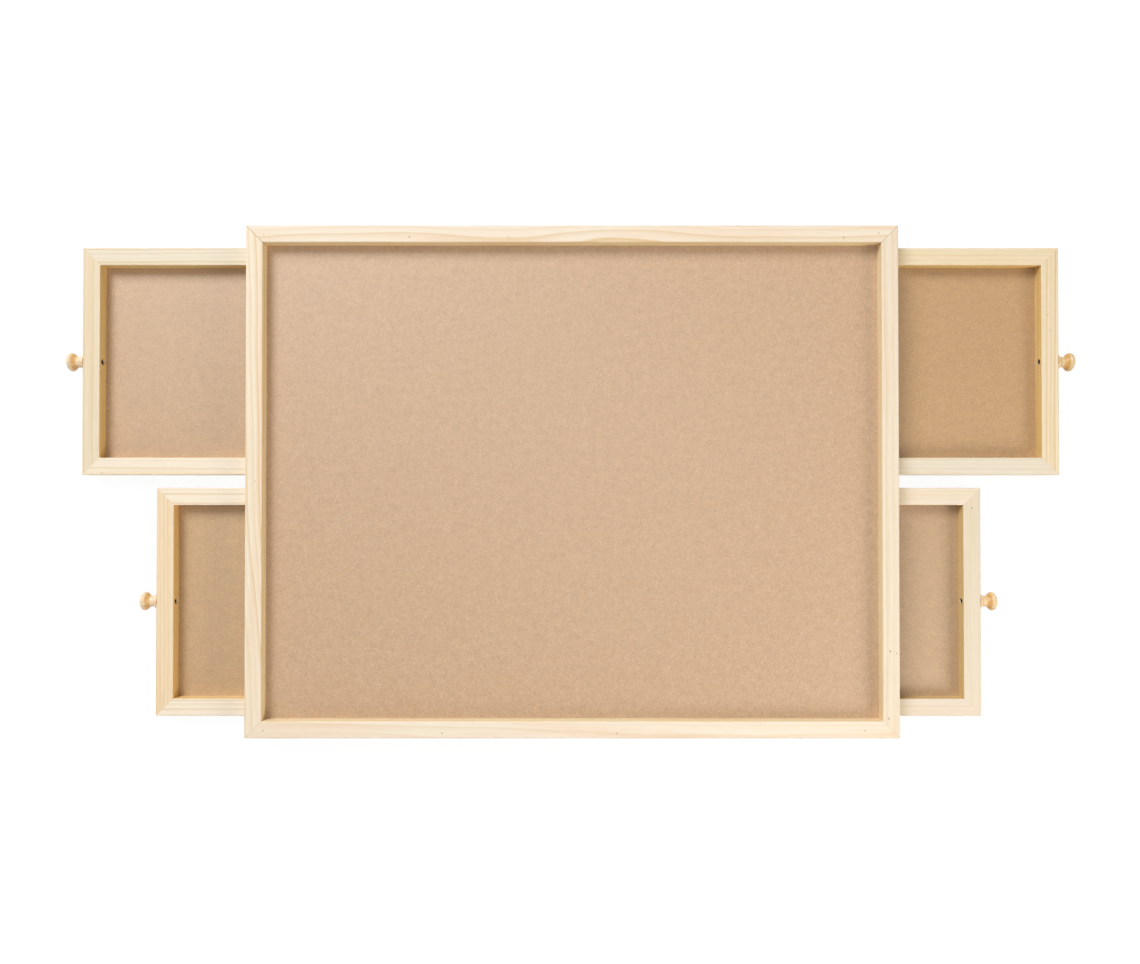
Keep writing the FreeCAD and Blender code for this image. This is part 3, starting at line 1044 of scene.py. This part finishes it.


# Each tint holds the piece's own tone, and the darker tints of the right-hand drawers and their
# knobs also hold painted shade
DRAWER_SHADES: dict[str, dict[str, Shade]] = {
    "left_rear_drawer": {
        "face": Shade("#F0EBDD", boldness=0.8),
        "outer_side": Shade("#F0F0E8", boldness=1.4),
        "inner_side": Shade("#FBFAF5"),
        "floor": Shade("#FFFFFB"),
    },
    "left_near_drawer": {
        "face": Shade("#F8EDD9", boldness=1.6),
        "outer_side": Shade("#FFFFFF", boldness=1.3),
        "inner_side": Shade("#FFFFFD", boldness=1.4),
        "floor": Shade("#FFFDEE"),
    },
    "right_rear_drawer": {
        "face": Shade("#EFEADA", boldness=1.4),
        "outer_side": Shade("#F0ECDB"),
        "inner_side": Shade("#E9EBE8", boldness=0.6),
        "floor": Shade("#F1E9D0"),
        "knob": Shade("#E9E3CE"),
    },
    "right_near_drawer": {
        "face": Shade("#E6E4DC", boldness=0.3),
        "outer_side": Shade("#E8E6E3", boldness=0.7),
        "inner_side": Shade("#F0EEEA", boldness=0.4),
        "floor": Shade("#F0F0E8"),
        "knob": Shade("#F6EFE0"),
    },
}
DRAWER_KNOTS: dict[str, dict[str, tuple[PinKnot, ...]]] = {
    "left_rear_drawer": {"inner_side": (PinKnot(-652.9, 11.9, radius=0.8, depth=0.5),)},
    "right_rear_drawer": {
        "face": (PinKnot(662.0, 231.6, depth=0.5), PinKnot(664.9, 210.7, depth=0.35)),
    },
    "right_near_drawer": {"face": (PinKnot(554.7, -37.0, radius=1.2, depth=0.6),)},
}


# The studio


@dataclass(frozen=True)
class Lamp:
    """A round soft lamp that points at the middle of the table.

    Its place and its width are in metres, and its level is how bright a level white surface
    gets there.
    """

    name: str
    place: tuple[float, float, float]
    width: float
    level: float
    colour: str

    def hang(self) -> None:
        """Put the lamp in the scene."""
        place = Vector(self.place)
        data = bpy.data.lights.new(self.name, "AREA")
        data.shape = "DISK"
        data.size = self.width
        data.color = linear(self.colour)[:3]
        # White that faces the lamp from a distance d gets as bright as energy / (4 pi d squared),
        # and level white gets z / d of that
        data.energy = self.level * 4 * math.pi * place.length ** 3 / place.z
        lamp = bpy.data.objects.new(self.name, data)
        lamp.location = place
        lamp.rotation_euler = place.to_track_quat("Z", "Y").to_euler()
        bpy.context.scene.collection.objects.link(lamp)


@dataclass
class Studio:
    """The stage: a white floor, soft light from all round and a camera straight above.

    The key lamp hangs at the rear left and the top lamp over the middle. The side and the low
    lamp stand at the near right and the near left, and reach the inner walls of the rim and the
    drawers. The floor shows its shadows on an even white up to a distance, and pales from there
    to the white of what lies behind it.
    """

    camera_place: tuple[float, float, float] = (-2.66, -13.79, 1252.0)
    camera_tilt: tuple[float, float, float] = (0.604, 0.011, 0.001)
    focal_px: float = 882.5
    sensor: float = 36.0
    floor_size: float = 12000.0
    floor_gap: float = 0.2
    floor_bounce: str = "#E7E7E7"
    floor_shadow: str = "#555555"
    floor_white: float = 0.94
    floor_even: float = 900.0
    floor_paled: float = 2700.0
    key: Lamp = Lamp("key", place=(-2.8, 3.7, 4.2), width=3.4, level=0.53, colour="#F0F4FC")
    top: Lamp = Lamp("top", place=(0.2, 0.2, 2.4), width=1.2, level=0.16, colour="#F2F7FF")
    side: Lamp = Lamp("side", place=(1.7, -1.2, 1.12), width=1.1, level=0.18, colour="#FFFAF4")
    low: Lamp = Lamp("low", place=(-1.3, -2.6, 0.9), width=1.6, level=0.033, colour="#F6F8FF")
    fill_level: float = 0.44
    fill_fall: float = 2.0
    fill_colour: str = "#FFEBD0"

    def build(self) -> None:
        """Set the whole stage."""
        bpy.context.scene.view_settings.view_transform = "Standard"
        self._place_camera()
        self._lay_floor()
        for lamp in (self.key, self.top, self.side, self.low):
            lamp.hang()
        self._fill_round()

    def _place_camera(self) -> None:
        """Place the camera as the edges of the case and the drawers in the photograph give it."""
        data = bpy.data.cameras.new("camera")
        data.sensor_fit = "HORIZONTAL"
        data.sensor_width = self.sensor
        data.lens = self.focal_px / IMAGE_WIDTH_PX * self.sensor
        camera = bpy.data.objects.new("camera", data)
        camera.location = Vector(self.camera_place) * MM
        camera.rotation_euler = [math.radians(angle) for angle in self.camera_tilt]
        bpy.context.scene.collection.objects.link(camera)
        bpy.context.scene.camera = camera

    @staticmethod
    def _seen(tree: Tree) -> Socket:
        """Whether a ray shows what it meets: to the camera, in a reflection or through glass.

        Args:
            tree: The tree of the floor or of the world.

        Returns:
            1 for such a ray and 0 for others.
        """
        path = add(tree, "LightPath")
        seen = path.outputs["Is Camera Ray"]
        for kind in ("Is Glossy Ray", "Is Transmission Ray"):
            seen = add(tree, "Math", {
                0: seen, 1: path.outputs[kind],
            }, operation="MAXIMUM").outputs[0]
        return seen

    def _lay_floor(self) -> None:
        """Lay a floor that throws light back at the table, and shows white with a faint shadow."""
        half = self.floor_size / 2 * MM
        corners = [(-half, -half, 0), (half, -half, 0), (half, half, 0), (-half, half, 0)]
        mesh = bpy.data.meshes.new("floor")
        mesh.from_pydata(corners, [], [(0, 1, 2, 3)])
        floor = bpy.data.objects.new("floor", mesh)
        floor.location.z = -self.floor_gap * MM
        bpy.context.scene.collection.objects.link(floor)

        material = blank_material("matt_white_floor")
        tree = material.node_tree
        bounce, shadow = (
            add(tree, "BsdfDiffuse", {"Color": grey}).outputs[0]
            for grey in (self.floor_bounce, self.floor_shadow)
        )
        place, _ = on_table(tree)
        away = add(tree, "VectorMath", {0: place}, operation="LENGTH")
        paling = add(tree, "MapRange", {
            "Value": away.outputs["Value"],
            "From Min": self.floor_even, "From Max": self.floor_paled,
            "To Min": self.floor_white, "To Max": 1.0,
        }, interpolation_type="SMOOTHSTEP")
        white = add(tree, "Emission", {"Strength": paling.outputs[0]})
        shown = add(tree, "AddShader", {0: shadow, 1: white.outputs[0]})
        mixed = add(tree, "MixShader", {0: self._seen(tree), 1: bounce, 2: shown.outputs[0]})
        add(tree, "OutputMaterial", {"Surface": mixed.outputs[0]})
        mesh.materials.append(material)

    def _fill_round(self) -> None:
        """Fill from all round, most from the walls and none from above, with white behind."""
        world = bpy.data.worlds.new("studio")
        world.use_nodes = True
        tree = world.node_tree
        tree.nodes.clear()
        way = add(tree, "TexCoord").outputs["Generated"]
        height = add(tree, "SeparateXYZ", {0: way}).outputs[2]
        depth = add(tree, "Math", {0: 1.0, 1: height}, operation="SUBTRACT", use_clamp=True)
        fall = add(tree, "Math", {0: depth.outputs[0], 1: self.fill_fall}, operation="POWER")
        level = add(tree, "Math", {0: fall.outputs[0], 1: self.fill_level}, operation="MULTIPLY")
        fill = add(tree, "Background", {"Color": self.fill_colour, "Strength": level.outputs[0]})
        white = add(tree, "Background", {"Color": "#FFFFFF", "Strength": 1.0})
        mixed = add(tree, "MixShader", {
            0: self._seen(tree), 1: fill.outputs[0], 2: white.outputs[0],
        })
        add(tree, "OutputWorld", {"Surface": mixed.outputs[0]})
        bpy.context.scene.world = world


def main() -> None:
    """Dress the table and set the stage."""
    logging.basicConfig(level=logging.INFO, format="%(name)s: %(message)s")
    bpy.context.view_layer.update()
    rng = random.Random(CHANCE_SEED)
    finishes = Finishes()
    Case(finishes, rng).build()
    for name, shades in DRAWER_SHADES.items():
        Drawer(name, finishes, rng, shades, DRAWER_KNOTS.get(name, {})).build()
    Studio().build()


if __name__ == "__main__":
    main()
